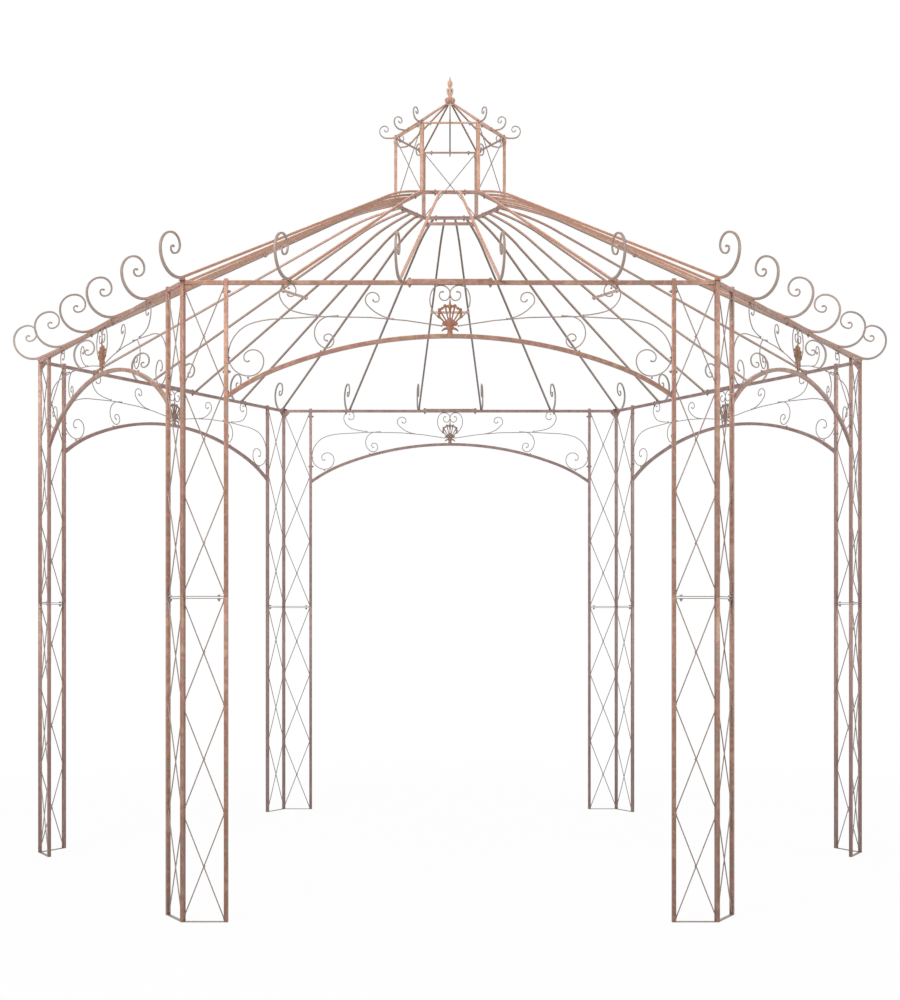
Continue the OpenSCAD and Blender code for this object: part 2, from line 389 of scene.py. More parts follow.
PROUD = 0.4                 # how far a run of weld stands off the face
FINE, HEAVY = 1.4, 1.6      # radius of a light and of a strong run


def weld_end(work, x, beside, across, low, high, edge, r):
    """Welds a bar's end to an upright face: a run up each side of it and one along an edge."""
    for y in (-beside, beside):
        bead(work, (x, y, low), (x, y, high), r)
    bead(work, (x, -across, edge), (x, across, edge), r)


def weld_eaves(work, x):
    low = EAVES_Z - TUBE
    weld_end(work, x, TUBE / 2 - 0.2, TUBE / 2 - 1, low + 1, EAVES_Z - 1, low, FINE)


# ---- posts ----
TUBE_SECTION = square_section(TUBE, TUBE_CORNER)
STRIP_SECTION = bar_section(TUBE - 0.6, STRIP_T, 0.7)
CHAMFER = 0.7
PANELS = (turn(120), turn(240))  # of a post; x runs from its corner tube to a side tube


def post_tube(work, x, low, high, plugged=False):
    """An upright square tube. A plugged one shows its wall and the cap inside it."""
    levels = [(low, 0.93), (low + CHAMFER, 1.0), (high - CHAMFER, 1.0), (high, 0.93)]
    if plugged:
        levels += [(high, 0.8), (high - 0.9, 0.79)]
    turned(work, (x, 0, 0), Z, TUBE_SECTION, levels, X)


def panel_bar(work, z, section, bare=0.0):
    """A bar across a panel, from tube to tube."""
    bent(work, [(CORNER_FACE - 1, 0, z), (SIDE_FACE + 1, 0, z)], Y, section, bare=bare)


def lattice_rods(rods, welds, low, high):
    """Three crosses, one above the other; one rod of each passes in front of the other."""
    step = (high - low) / CROSSES
    depth = LATTICE_ROD * 0.46
    section = round_section(LATTICE_ROD, 10)
    for i in range(CROSSES):
        z0, z1 = low + i * step, low + (i + 1) * step
        for side, z_corner, z_side in ((1, z0 + CORNER_STEP, z1 - SIDE_STEP),
                                       (-1, z1 - CORNER_STEP, z0 + SIDE_STEP)):
            a = np.array([CORNER_FACE - 1, side * depth, z_corner])
            b = np.array([SIDE_FACE + 1, side * depth, z_side])
            bow = chance.uniform(-1.2, 1.2)
            path = [a + (b - a) * t + np.array([0, 0.3 * bow, bow]) * math.sin(math.pi * t)
                    for t in np.linspace(0, 1, 7)]
            bent(rods, path, Y, section)
            lean = unit(b - a)
            blob(welds, a + lean * 1.2, lean * [1, 1, 0.25], 4.2, 4.0)
            blob(welds, b - lean * 1.2, lean * [-1, -1, -0.25], 4.2, 4.0)
        blob(welds, (POST_W / 2, -1.5, (z0 + z1) / 2), Y, 3.6, 3.4)


def cross_strip(work, z):
    """A flat strip from tube to tube, thinly painted, with a weld along its ends."""
    outline, rub = STRIP_SECTION
    panel_bar(work, z + STRIP_T / 2, (outline[:, ::-1] * [1, -1], rub), bare=1.0)
    on_floor = z == 0
    for x in (CORNER_FACE + PROUD, SIDE_FACE - PROUD):
        for face in (z + STRIP_T,) if on_floor else (z, z + STRIP_T):
            bead(work, (x, -7, face), (x, 7, face), FINE)


def post_pieces(lower):
    """Tubes, rods and bolts of one post section, in its corner's frame."""
    tubes, rods, bolts = Metalwork(), Metalwork(), Metalwork()
    post_tube(tubes, 0, 0 if lower else JOINT_Z, JOINT_Z if lower else EAVES_Z)
    for panel in PANELS:
        flat, lattice, fixing = Metalwork(), Metalwork(), Metalwork()
        if lower:
            post_tube(flat, POST_W, 0, JOINT_Z)
            cross_strip(flat, 0)
            cross_strip(flat, LOWER_STRIP)
            lattice_rods(lattice, flat, STRIP_T + ROD_RISE, LOWER_STRIP)
            bolt(fixing, (STRIP_BOLT, 0, UPPER_STRIP + STRIP_T), Z,
                 UPPER_STRIP + STRIP_T - LOWER_STRIP)
        else:
            post_tube(flat, POST_W, JOINT_Z, TUBE_TOP, plugged=True)
            cross_strip(flat, UPPER_STRIP)
            lattice_rods(lattice, flat, UPPER_STRIP + STRIP_T + ROD_RISE, EAVES_Z - TUBE)
            # the end of the eaves
            panel_bar(flat, EAVES_Z - TUBE / 2, square_section(TUBE - 0.4, TUBE_CORNER))
            for x in (CORNER_FACE + PROUD, SIDE_FACE - PROUD):
                weld_eaves(flat, x)
            # a folded corner plate under the eaves
            gusset = [(CORNER_FACE + out, 0, EAVES_Z - TUBE - drop)
                      for out, drop in ((0, 15), (14, 8), (27, 2))]
            bent(flat, gusset, Y, bar_section(30, 5, 1.0), [(1, 1), (0.53, 1), (0.13, 1)])
            for z in ARCH_BOLTS:
                bolt(fixing, (SIDE_FACE, 0, z), (-1, 0, 0), TUBE)
        tubes.join(flat.placed(panel))
        rods.join(lattice.placed(panel))
        bolts.join(fixing.placed(panel))
    return tubes, rods, bolts


# ---- eaves ----
def eaves_pieces():
    """The eaves bar with its joining sleeve, along a side."""
    bar, bolts = Metalwork(), Metalwork()
    z = EAVES_Z - TUBE / 2
    bent(bar, [(-BAY_HALF - 1, 0, z), (BAY_HALF + 1, 0, z)], Y,
         square_section(TUBE - 0.1, TUBE_CORNER))
    short_bar(bar, (0, 0, z + SLEEVE_RISE / 2), X, SLEEVE_HALF, Y,
              bar_section(TUBE + SLEEVE_RISE, 20, 2.4), 1.0, 0.94)
    for x in (-BAY_HALF + PROUD, BAY_HALF - PROUD):
        weld_eaves(bar, x)
    for x in (-SLEEVE_BOLT, SLEEVE_BOLT):
        bolt(bolts, (x, 0, EAVES_Z + SLEEVE_RISE), Z, TUBE + SLEEVE_RISE)
    # the studs that carry the tops of the outer scrolls
    for x in (-STUD_X, STUD_X):
        bolt(bolts, (x, 0, EAVES_Z), Z, TUBE)
        turned(bolts, (x, 0, EAVES_Z - TUBE), DOWN, ROUND, [(0, 3.2), (12, 3.2), (13, 2.4)])
    return bar, bolts


# ---- arch and scrolls ----
SCROLLS = (
    # the long rod from the shell to the large scroll beside the post
    ((-30, 2231), 169.5, ((2082, 7.4), (2586, 8.2), (363, 11.3), (130, 71), (77, 94.4),
                          (55, 104), (39, 121), (23, 69), (11, 105))),
    # the branch that turns up to the eaves near the post
    ((-499, 2271), 177, ((365, -13), (84, -53), (43, -74), (28, -142), (19, -71), (15, -63))),
    # the one that turns up half way along
    ((-212, 2257), 173, ((152, -43), (29, -64), (27, -96), (22, -67), (12, -152))),
    # the one that turns down and rests on the arch
    ((-419, 2269), 178, ((178, 12), (62, 137), (29, 77), (27, 99), (17, 86), (12, 136))),
    # half of the heart over the shell
    ((-36, 2260), 150, ((79, -85), (37, -110), (29, -87), (18, -70), (20, -80), (11, -95))),
)

# where the rods touch the arch, the post and each other: x and height
SCROLL_WELDS = ((-756, 2037), (-826, 2113), (-484, 2137), (-1.5, 2341), (-604, 2373))


def arch_bar():
    """The bent square tube of an arch, cut plumb where it meets the side tubes."""
    bar = Metalwork()
    half = arcs((0, CROWN_Z), 180, ARCH_ARCS, 1.0)
    half = half[half[:, 0] > -BAY_HALF - 12]
    path = np.vstack([half[::-1], half[1:] * [-1, 1]])
    bent(bar, upright(path), FRONT, bar_section(TUBE, TUBE - 0.4, TUBE_CORNER))
    bar.points[0][:, 0] = np.clip(bar.points[0][:, 0], -BAY_HALF - 0.5, BAY_HALF + 0.5)
    foot = half[-1][1]
    for side in (-1, 1):
        weld_end(bar, side * (BAY_HALF - PROUD), TUBE / 2 - 0.4, TUBE / 2 - 1, foot + 2, foot + 22,
                 foot - 1, HEAVY)
    return bar


def scroll_rods():
    """The round rods of the scrollwork, each ending in a hammered tip."""
    rods, half = Metalwork(), Metalwork()
    for start, heading, segments in SCROLLS:
        path, size = forged_end(arcs(start, heading, segments, 6.0), SCROLL_ROD, *SCROLL_END)
        path = upright(path)
        bent(half, path, FRONT, round_section(SCROLL_ROD, 10), size)
        lean = unit(path[1] - path[0])
        blob(half, path[0] + lean * 1.5, -lean, 4.4, 4.0)
    for x, z in SCROLL_WELDS:
        blob(half, (x, 2.5, z), FRONT, 4.2, 7.0)
    rods.join(half.placed(AS_MADE, MIRROR))
    return rods


# ---- shell casting ----
def fused(name, work, grain):
    """Runs the overlapping solids of a casting together into one skin."""
    mesh = mesh_of(name, work)
    solid = stand(name, mesh)
    remesh = solid.modifiers.new("fuse", "REMESH")
    remesh.mode, remesh.voxel_size = "VOXEL", grain * MM
    smooth = solid.modifiers.new("fettle", "SMOOTH")
    smooth.factor, smooth.iterations = 0.5, 3
    thin = solid.modifiers.new("thin", "DECIMATE")
    thin.ratio = 0.45
    bpy.context.view_layer.update()
    done = solid.evaluated_get(bpy.context.evaluated_depsgraph_get()).to_mesh()
    made = Metalwork()
    made.add([v.co / MM for v in done.vertices], [list(p.vertices) for p in done.polygons])
    bpy.data.objects.remove(solid)
    bpy.data.meshes.remove(mesh)
    return made


RIBS = ((13, 89), (31, 83), (46, 65))  # lean from upright, and length
WEBS = ((6, 79, 5.4), (22, 77, 5.8), (38.5, 66, 5.8))  # lean, distance and half width
VOLUTE = np.array([20.5, 41])  # its middle, from the shell's foot


def shell_casting():
    """Seven ribs that fan out to scalloped lobes and a bud, over a foot with curled leaves."""
    shell, half = Metalwork(), Metalwork()
    hub = SHELL_FOOT + 26

    def at(x, z):
        return (x, 0, SHELL_FOOT + z)

    def fan(lean, reach):
        c, s = aim(lean)
        return np.array([reach * s, 0, hub + reach * c])

    # the flared stem and the round boss of the fan
    turned(shell, at(0, 0), Z, disc(20),
           [(0, 12, 6.4), (2.5, 11.6, 6), (6, 9.9, 5), (14, 9.4, 4.8), (22, 10.4, 5), (30, 15, 5),
            (36, 16.4, 5.2), (43, 17, 5), (51, 15, 4.6), (58, 8.4, 3.4), (61, 3, 2.6)], X)
    for lean, length in RIBS:
        path = [fan(lean, d) for d in (10, 22, 33, length - 26, length - 14)]
        bent(half, path, FRONT, disc(12),
             [(2.3, 5.0), (2.4, 5.0), (2.6, 4.6), (3.0, 4.2), (3.8, 3.8)])
        lobe = fan(lean, length - 7)
        turned(half, lobe + [0, 2.6, 0], FRONT, disc(20),
               [(0, 5.3), (1.0, 6.5), (2.6, 6.9), (4.2, 6.5), (5.2, 5.3)])
        # the raised rim round each lobe, and the bead in the middle of it
        c, s = aim(lean)
        out_and_side = np.array([(s, 0, c), (c, 0, -s)])
        rim = [lobe + 5.6 * aim(t) @ out_and_side for t in np.linspace(-125, 125, 17)]
        bent(half, rim, FRONT, disc(8), [(1.4, 4.6)] * len(rim))
        turned(half, lobe + [0, 4.4, 0], FRONT, disc(12),
               [(0, 0.8), (0.8, 1.9), (4.4, 2.2), (8.0, 1.9), (8.8, 0.8)])
    for lean, reach, wide in WEBS:
        turned(half, fan(lean, reach) + [0, 2.4, 0], FRONT, disc(16),
               [(0, wide * 0.8), (1.2, wide), (3.6, wide), (4.8, wide * 0.8)])
    # the volute beside the stem
    wound = np.linspace(0, 1, 26)
    volute = [at(*VOLUTE + (8.6 - 6.2 * t) * aim(-120 + 500 * t)) for t in wound]
    bent(half, volute, FRONT, disc(10), [(2.4 - 0.9 * t, 4.2 + 1.4 * t) for t in wound])
    turned(half, np.array(at(*VOLUTE)) + [0, 2.8, 0], FRONT, disc(18),
           [(0, 7.5), (0.8, 8.6), (4.8, 8.6), (5.6, 7.5)])
    # the pointed leaf that droops under it
    leaf = [at(4, 19), at(12, 22.5), at(20, 20.5), at(26, 16.5), at(30, 12.5), at(32, 10)]
    bent(half, leaf, FRONT, disc(10),
         [(4.5, 4.6), (4.8, 4.6), (4.4, 4.0), (3.6, 3.4), (2.4, 2.8), (0.9, 1.2)])
    shell.join(half.placed(AS_MADE, MIRROR))
    # the middle rib and the bud over it
    bud = [(0, 0, hub + d) for d in (10, 36, 56, 66, 74, 84, 96, 108, 113)]
    bent(shell, bud, FRONT, disc(12),
         [(2.6, 5.0), (3.0, 4.8), (3.3, 4.4), (5.0, 4.4), (6.6, 4.6), (5.4, 4.2), (3.0, 3.2),
          (1.5, 1.8), (0.6, 0.8)])
    return fused("shell_pattern", shell, 1.15)


# ---- roof ----
BIG_CURL = ((92, 90), (70, 90), (40, 90), (36, 90), (15, 100), (11, 110))
CURL_OUT = 35.0             # from the eaves to the lowest point of a curl


def rafter_run(off_degrees, lift):
    """Stretch, angle of fall, bend and curl's start of a rafter off the middle of its side."""
    stretch = 1 / math.cos(math.radians(off_degrees))
    fall = math.atan(ROOF_SLOPE / stretch)
    radius = BIG_CURL[0][0]
    over = math.asin(CURL_OUT / radius)
    low = np.array([APOTHEM * stretch + CURL_OUT,
                    EAVES_Z + lift + RAFTER / 2 / math.cos(over) - radius * (1 - math.cos(over))])
    start = low + radius * np.array([-math.sin(fall), 1 - math.cos(fall)])
    return stretch, fall, np.array([ROOF_BEND[0] * stretch, ROOF_BEND[1]]), start


def rafter(work, off_degrees, lift):
    """A square bar from the ring down over the eaves into its curl, in the plane y = 0."""
    stretch, fall, bend, start = rafter_run(off_degrees, lift)
    top = ((RING_A + RING_W / 2 - 1) * stretch, RING_TOP - RING_T)
    line = eased(top, (BEND_PULL[0] * stretch, bend[1] + BEND_PULL[1]), bend, 12)
    fall = math.degrees(fall)
    curl = arcs(start, -fall, ((BIG_CURL[0][0], BIG_CURL[0][1] + fall),) + BIG_CURL[1:], 6.0)
    path, size = forged_end(np.vstack([line, curl]), RAFTER, *RAFTER_END)
    bare = np.clip((path[:, 0] - start[0]) / 60 + 0.3, 0, 1)
    bare[len(line) + 3:] = 1.0
    bent(work, upright(path), FRONT, square_section(RAFTER, 1.3, 2), size, bare=bare)
    # welds on the ring
    x, z = path[0]
    weld_end(work, x + 1.5, RAFTER / 2 - 0.4, RAFTER / 2 - 1, z - 4, z + 4, z + 5, FINE)
    # and where it rests over the eaves
    x = APOTHEM * stretch
    for y in (-5.0, 5.0):
        bead(work, (x - 6, y, EAVES_Z + lift + 0.5), (x + 7.5, y, EAVES_Z + lift - 1.0), 1.9)


def brace(work, bolts):
    """The short square tube under the two inner rafters of a section, bolted up to them."""
    inner = RAFTER_OFFSETS[2]
    stretch, fall, bend, start = rafter_run(math.degrees(math.atan2(inner, APOTHEM)), EDGE_LIFT)
    share = (BRACE_A * stretch - bend[0]) / (start[0] - bend[0])
    under = bend[1] + (start[1] - bend[1]) * share - RAFTER / 2 / math.cos(fall)
    z = under - BRACE_T / 2 + 1
    half = inner * BRACE_A / APOTHEM + RAFTER / 2
    short_bar(work, (BRACE_A, 0, z), Y, half, Z, square_section(BRACE_T, 1.7), 0.8, 0.94)
    for y in (RAFTER / 2 - half, half - RAFTER / 2):
        bolt(bolts, (BRACE_A, y, z - BRACE_T / 2), DOWN, BRACE_T, 5.5, through=False)
        # the saddle that wraps the rafter onto the brace
        short_bar(work, (BRACE_A, y, z), X, 10, Z, bar_section(BRACE_T + 3, 13, 1.5), 0.6, 0.92)


def roof_pieces():
    bars, braces, bolts = Metalwork(), Metalwork(), Metalwork()
    for offset in RAFTER_OFFSETS:
        a = math.degrees(math.atan2(offset, APOTHEM))
        one = Metalwork()
        rafter(one, a, EDGE_LIFT)
        bars.join(one.placed(turn(a)))
    brace(braces, bolts)
    return bars, braces, bolts


def hex_path(r, z):
    return [(r * c, r * s, z) for c, s in HEX[0]]


def ring_pieces():
    """Two flat rings, one on the other, clamped with bolts."""
    ring, bolts = Metalwork(), Metalwork()
    section = bar_section(RING_W, RING_T - 0.5, 1.3)
    for z in (RING_TOP - RING_T / 2, RING_TOP - RING_T * 1.5):
        bent(ring, hex_path(RING_R, z), Z, section, closed=True)
    inner = bar_section(RING_W - 3, RING_T, 0.5)
    bent(ring, hex_path(RING_R, RING_TOP - RING_T), Z, inner, closed=True)
    for a in range(30, 360, 60):
        for step in (-RING_BOLT, RING_BOLT):
            place = turn(a) @ shift(RING_A, step, RING_TOP)
            bolt(bolts, np.array(place.translation), Z, 2 * RING_T, 5)
    return ring, bolts


# ---- lantern ----
def lantern_pieces():
    """Six posts with the rail round their heads, and the clamps that join the rail."""
    posts, bolts, post = Metalwork(), Metalwork(), Metalwork()
    high = RAIL_Z + RAIL_T / 2
    turned(post, (RING_R, 0, 0), Z, square_section(LANTERN_POST, 1.6),
           [(RING_TOP, 1.0), (high - CHAMFER, 1.0), (high, 0.93)], X)
    for y in (-LANTERN_POST / 2, LANTERN_POST / 2):
        bead(post, (RING_R - 7, y, RING_TOP), (RING_R + 7, y, RING_TOP), HEAVY)
    # a pressed collar clamps the rail to the head of the post
    turned(post, (RING_R, 0, 0), Z, square_section(18.5, 2.6),
           [(RAIL_Z - 30, 0.9), (RAIL_Z - 28.5, 1.0), (RAIL_Z - 7, 1.0), (RAIL_Z - 5, 0.92)], X)
    rivet(post, (RING_R + 9, 0, RAIL_Z - 18), X, 6)
    posts.join(post.placed(*[turn(a) for a in range(0, 360, 60)]))
    bent(posts, hex_path(RING_R, RAIL_Z), Z, square_section(RAIL_T, 1.2), closed=True)
    fixing = Metalwork()
    for y in (-RAIL_CLAMP, RAIL_CLAMP):
        short_bar(fixing, (RING_A, y, RAIL_Z), Y, 6, Z, bar_section(11, 10.5, 1.8), 0.6, 0.92)
        bolt(fixing, (RING_A, y, RAIL_Z + 5), Z, 10.5, 4)
    bolts.join(fixing.placed(*[turn(a) for a in range(30, 360, 60)]))
    return posts, bolts


def lantern_cross_rods():
    """Crossed rods in sides 2, 4 and 6 of the lantern."""
    one = Metalwork()
    half = RING_R / 2 - LANTERN_POST / 2
    low, high = RING_TOP + 4, RAIL_Z - 8
    for side in (-1, 1):
        y = -RING_A + side * 2.1
        a, b = np.array([-side * half, y, low]), np.array([side * half, y, high])
        bent(one, [a, (a + b) / 2, b], Y, round_section(LATTICE_ROD, 10))
        lean = unit(b - a)
        blob(one, a + lean * 1.5, lean * [1, 1, 0.3], 4.2, 4)
        blob(one, b - lean * 1.5, -lean * [1, 1, 0.3], 4.2, 4)
    blob(one, (0, -RING_A + 1.5, (low + high) / 2), FRONT, 3.4, 3.4)
    return one.placed(*[turn(60 * (k - 1)) for k in (2, 4, 6)])


SMALL_CURL = ((34, 90), (25, 90), (17, 90), (11, 90), (7, 100))


def lantern_rafters():
    """Twelve light bars from the hub over the rail, each ending in a curl."""
    bars, bolts = Metalwork(), Metalwork()
    for a in range(0, 360, 30):
        off = 30 if a % 60 == 0 else 0
        rail_at = np.array([RING_A / math.cos(math.radians(off)),
                            RAIL_Z + (RAIL_T + SMALL_RAFTER) / 2])
        slope = (PEAK_Z - rail_at[1]) / rail_at[0]
        knee = rail_at + [12, -12 * slope]
        start = 19.0               # inside the hub
        line = np.vstack([[[start, PEAK_Z - start * slope]],
                          eased(rail_at, knee, knee + [12, 0], 7)[:-1],
                          arcs(knee + [12, 0], 0, ((20, 0),) + SMALL_CURL, 9.0)])
        path, size = forged_end(line, SMALL_RAFTER, *SMALL_RAFTER_END)
        one, fixing = Metalwork(), Metalwork()
        bare = np.clip((path[:, 0] - knee[0]) / 30, 0, 1)
        bare[len(line) // 2:] = 1.0
        bent(one, upright(path), FRONT, square_section(SMALL_RAFTER, 1.0, 2), size, bare=bare)
        bolt(fixing, (rail_at[0], 0, rail_at[1] + SMALL_RAFTER / 2), Z, 1, 5, through=False)
        bars.join(one.placed(turn(a)))
        bolts.join(fixing.placed(turn(a)))
    return bars, bolts


def hub_piece():
    """The turned hub that the small rafters enter."""
    hub, bolts = Metalwork(), Metalwork()
    high = HUB_TOP - HUB_LOW
    turned(hub, (0, 0, HUB_LOW), Z, disc(40),
           [(0, 16), (0.8, 19.5), (4, 22.6), (8, 24.4), (9.4, 23.4), (10.8, 24.4), (16, 24.8),
            (high - 8, 23.4), (high - 6.4, 21.6), (high - 5, 21.8), (high - 2.4, 17.5),
            (high - 0.8, 13), (high, 11)])
    for a in range(15, 360, 30):
        c, s = aim(a)
        rivet(bolts, (24.5 * c, 24.5 * s, HUB_LOW + 15), (c, s, 0), 6)
    return hub, bolts


def finial_casting():
    """A slim bud with two tiers of blunt leaves."""
    bud = Metalwork()
    high = FINIAL_TOP - HUB_TOP
    turned(bud, (0, 0, HUB_TOP - 1), Z, disc(24),
           [(0, 11), (4, 10), (9, 8.8), (15, 8.2), (22, 9.4), (32, 11), (42, 10), (48, 7.4),
            (53, 7.0), (59, 8.0), (66, 9.2), (75, 8.4), (84, 5.8), (92, 4.0), (98, 2.8),
            (high - 1, 1.8), (high, 0.9)])
    for count, first, line, width in (
            (6, 90, ((7, 6), (10.5, 15), (13.6, 25), (15.4, 34), (16.4, 41), (16.6, 44)), 6.4),
            (5, 54, ((6, 50), (8.6, 56), (10.6, 63), (11.0, 70), (9.8, 77), (8.6, 80)), 4.8)):
        for i in range(count):
            leaf = Metalwork()
            path = [(r, 0, HUB_TOP + z) for r, z in line]
            bent(leaf, path, Y, disc(10),
                 [(1.8, width * 0.7), (2.2, width), (2.2, width), (2.0, width * 0.85),
                  (1.8, width * 0.6), (1.2, width * 0.3)])
            bud.join(leaf.placed(turn(first + 360 / count * i)))
    return fused("finial_pattern", bud, 0.9)


# ---- materials ----
def colour(code):
    """Linear colour of an sRGB hex value."""
    parts = [int(code[i:i + 2], 16) / 255 for i in (1, 3, 5)]
    linear = [c / 12.92 if c <= 0.04045 else ((c + 0.055) / 1.055) ** 2.4 for c in parts]
    return (*linear, 1.0)


def put(tree, kind, settings=()):
    """Adds a node with its settings and links. A key is a property of the node or one of its
    inputs, and an input takes a value or another node's output."""
    node = tree.nodes.new("ShaderNode" + kind)
    for key, value in dict(settings).items():
        if isinstance(key, str) and hasattr(node, key):
            setattr(node, key, value)
        elif isinstance(value, bpy.types.NodeSocket):
            tree.links.new(value, node.inputs[key])
        else:
            node.inputs[key].default_value = value
    return node


def fresh_tree(owner):
    owner.use_nodes = True
    owner.node_tree.nodes.clear()
    return owner.node_tree


# painted shade over one side of the gazebo: the direction towards that side, how far the fading
# reaches, and the strength of colour on the lit side and on the shaded one
PAINTED_SHADE_SIDE = ((0.5, 0.85, 0), 2.0, 1.14, 0.9)
ROOF_PAINTED_SHADE_SIDE = ((0, 1, 0), 1.2, 1.24, 0.66)
PAINTED_LIGHT_TO_SHADE = (1.04, 0.97)  # painted light on the lit side and painted shade on the other: how light the paint is on each
EAVES_M = 2.4
UPWARD = (0, 0, 0.45)       # in the painted light and shade by facing, what looking up counts, beside looking out
NOISE_SPAN = (0.34, 0.66)   # most of a soft noise lies between these
UNDERCOAT = "#9a8f89"
BARE_SHARE = 0.92           # how much of the undercoat shows where the paint is thin
STAIN_SHARE = 0.3
STAINS_PER_M = 85.0         # stains about 12 mm across
GRAIN_PER_M = 420.0         # brush grain drawn at 2 to 3 mm, coarser than real so that it shows


def patches_of(tree, tones, spread):
    """Patches of several tones, one running softly into the next."""
    blend = put(tree, "ValToRGB", {"Fac": spread})
    ramp = blend.color_ramp
    stops = np.linspace(*NOISE_SPAN, len(tones))
    for i, (stop, tone) in enumerate(zip(stops, tones)):
        element = ramp.elements[i] if i < 2 else ramp.elements.new(stop)
        element.position, element.color = stop, colour(tone)
    return blend.outputs["Color"]


def painted_light_share(tree, place, normal, painted_light_span):
    """Painted light and shade by facing: how much of the outer tone a face takes, by how far it
    looks up and away from the gazebo's axis; the faces turned in and down take the inner tone."""
    level = put(tree, "VectorMath", {"operation": "MULTIPLY", 0: place, 1: (1, 1, 0)})
    outward = put(tree, "VectorMath", {"operation": "NORMALIZE", 0: level.outputs["Vector"]})
    lit_direction = put(tree, "VectorMath", {
        "operation": "ADD", 0: outward.outputs["Vector"], 1: UPWARD})
    facing = put(tree, "VectorMath", {
        "operation": "DOT_PRODUCT", 0: normal, 1: lit_direction.outputs["Vector"]})
    share = put(tree, "MapRange", {
        "Value": facing.outputs["Value"], "From Min": painted_light_span[0], "From Max": painted_light_span[1]})
    return share.outputs["Result"]


def painted_light_and_shade(tree, place, coat, painted_height_shade, shade_side):
    """Painted shade, darker towards the ground, and painted light, paler towards the eaves; and
    painted shade, darker and duller, on the side of the gazebo away from the light."""
    height = put(tree, "SeparateXYZ", {"Vector": place})
    lightness = put(tree, "MapRange", {
        "Value": height.outputs["Z"], "From Max": EAVES_M,
        "To Min": painted_height_shade[0], "To Max": painted_height_shade[1]})
    # painted shade, darker and duller, on the side away from the light
    away, reach, lit_saturation, dull = shade_side
    toward_shade = put(tree, "VectorMath", {"operation": "DOT_PRODUCT", 0: place, 1: away})
    across = {"Value": toward_shade.outputs["Value"], "From Min": -reach, "From Max": reach}
    shaded = put(tree, "MapRange", {
        **across, "To Min": PAINTED_LIGHT_TO_SHADE[0], "To Max": PAINTED_LIGHT_TO_SHADE[1]})
    dulled = put(tree, "MapRange", {**across, "To Min": lit_saturation, "To Max": dull})
    value = put(tree, "Math", {
        "operation": "MULTIPLY", 0: shaded.outputs["Result"], 1: lightness.outputs["Result"]})
    faded = put(tree, "HueSaturation", {
        "Saturation": dulled.outputs["Result"], "Value": value.outputs["Value"], "Color": coat})
    return faded.outputs["Color"]


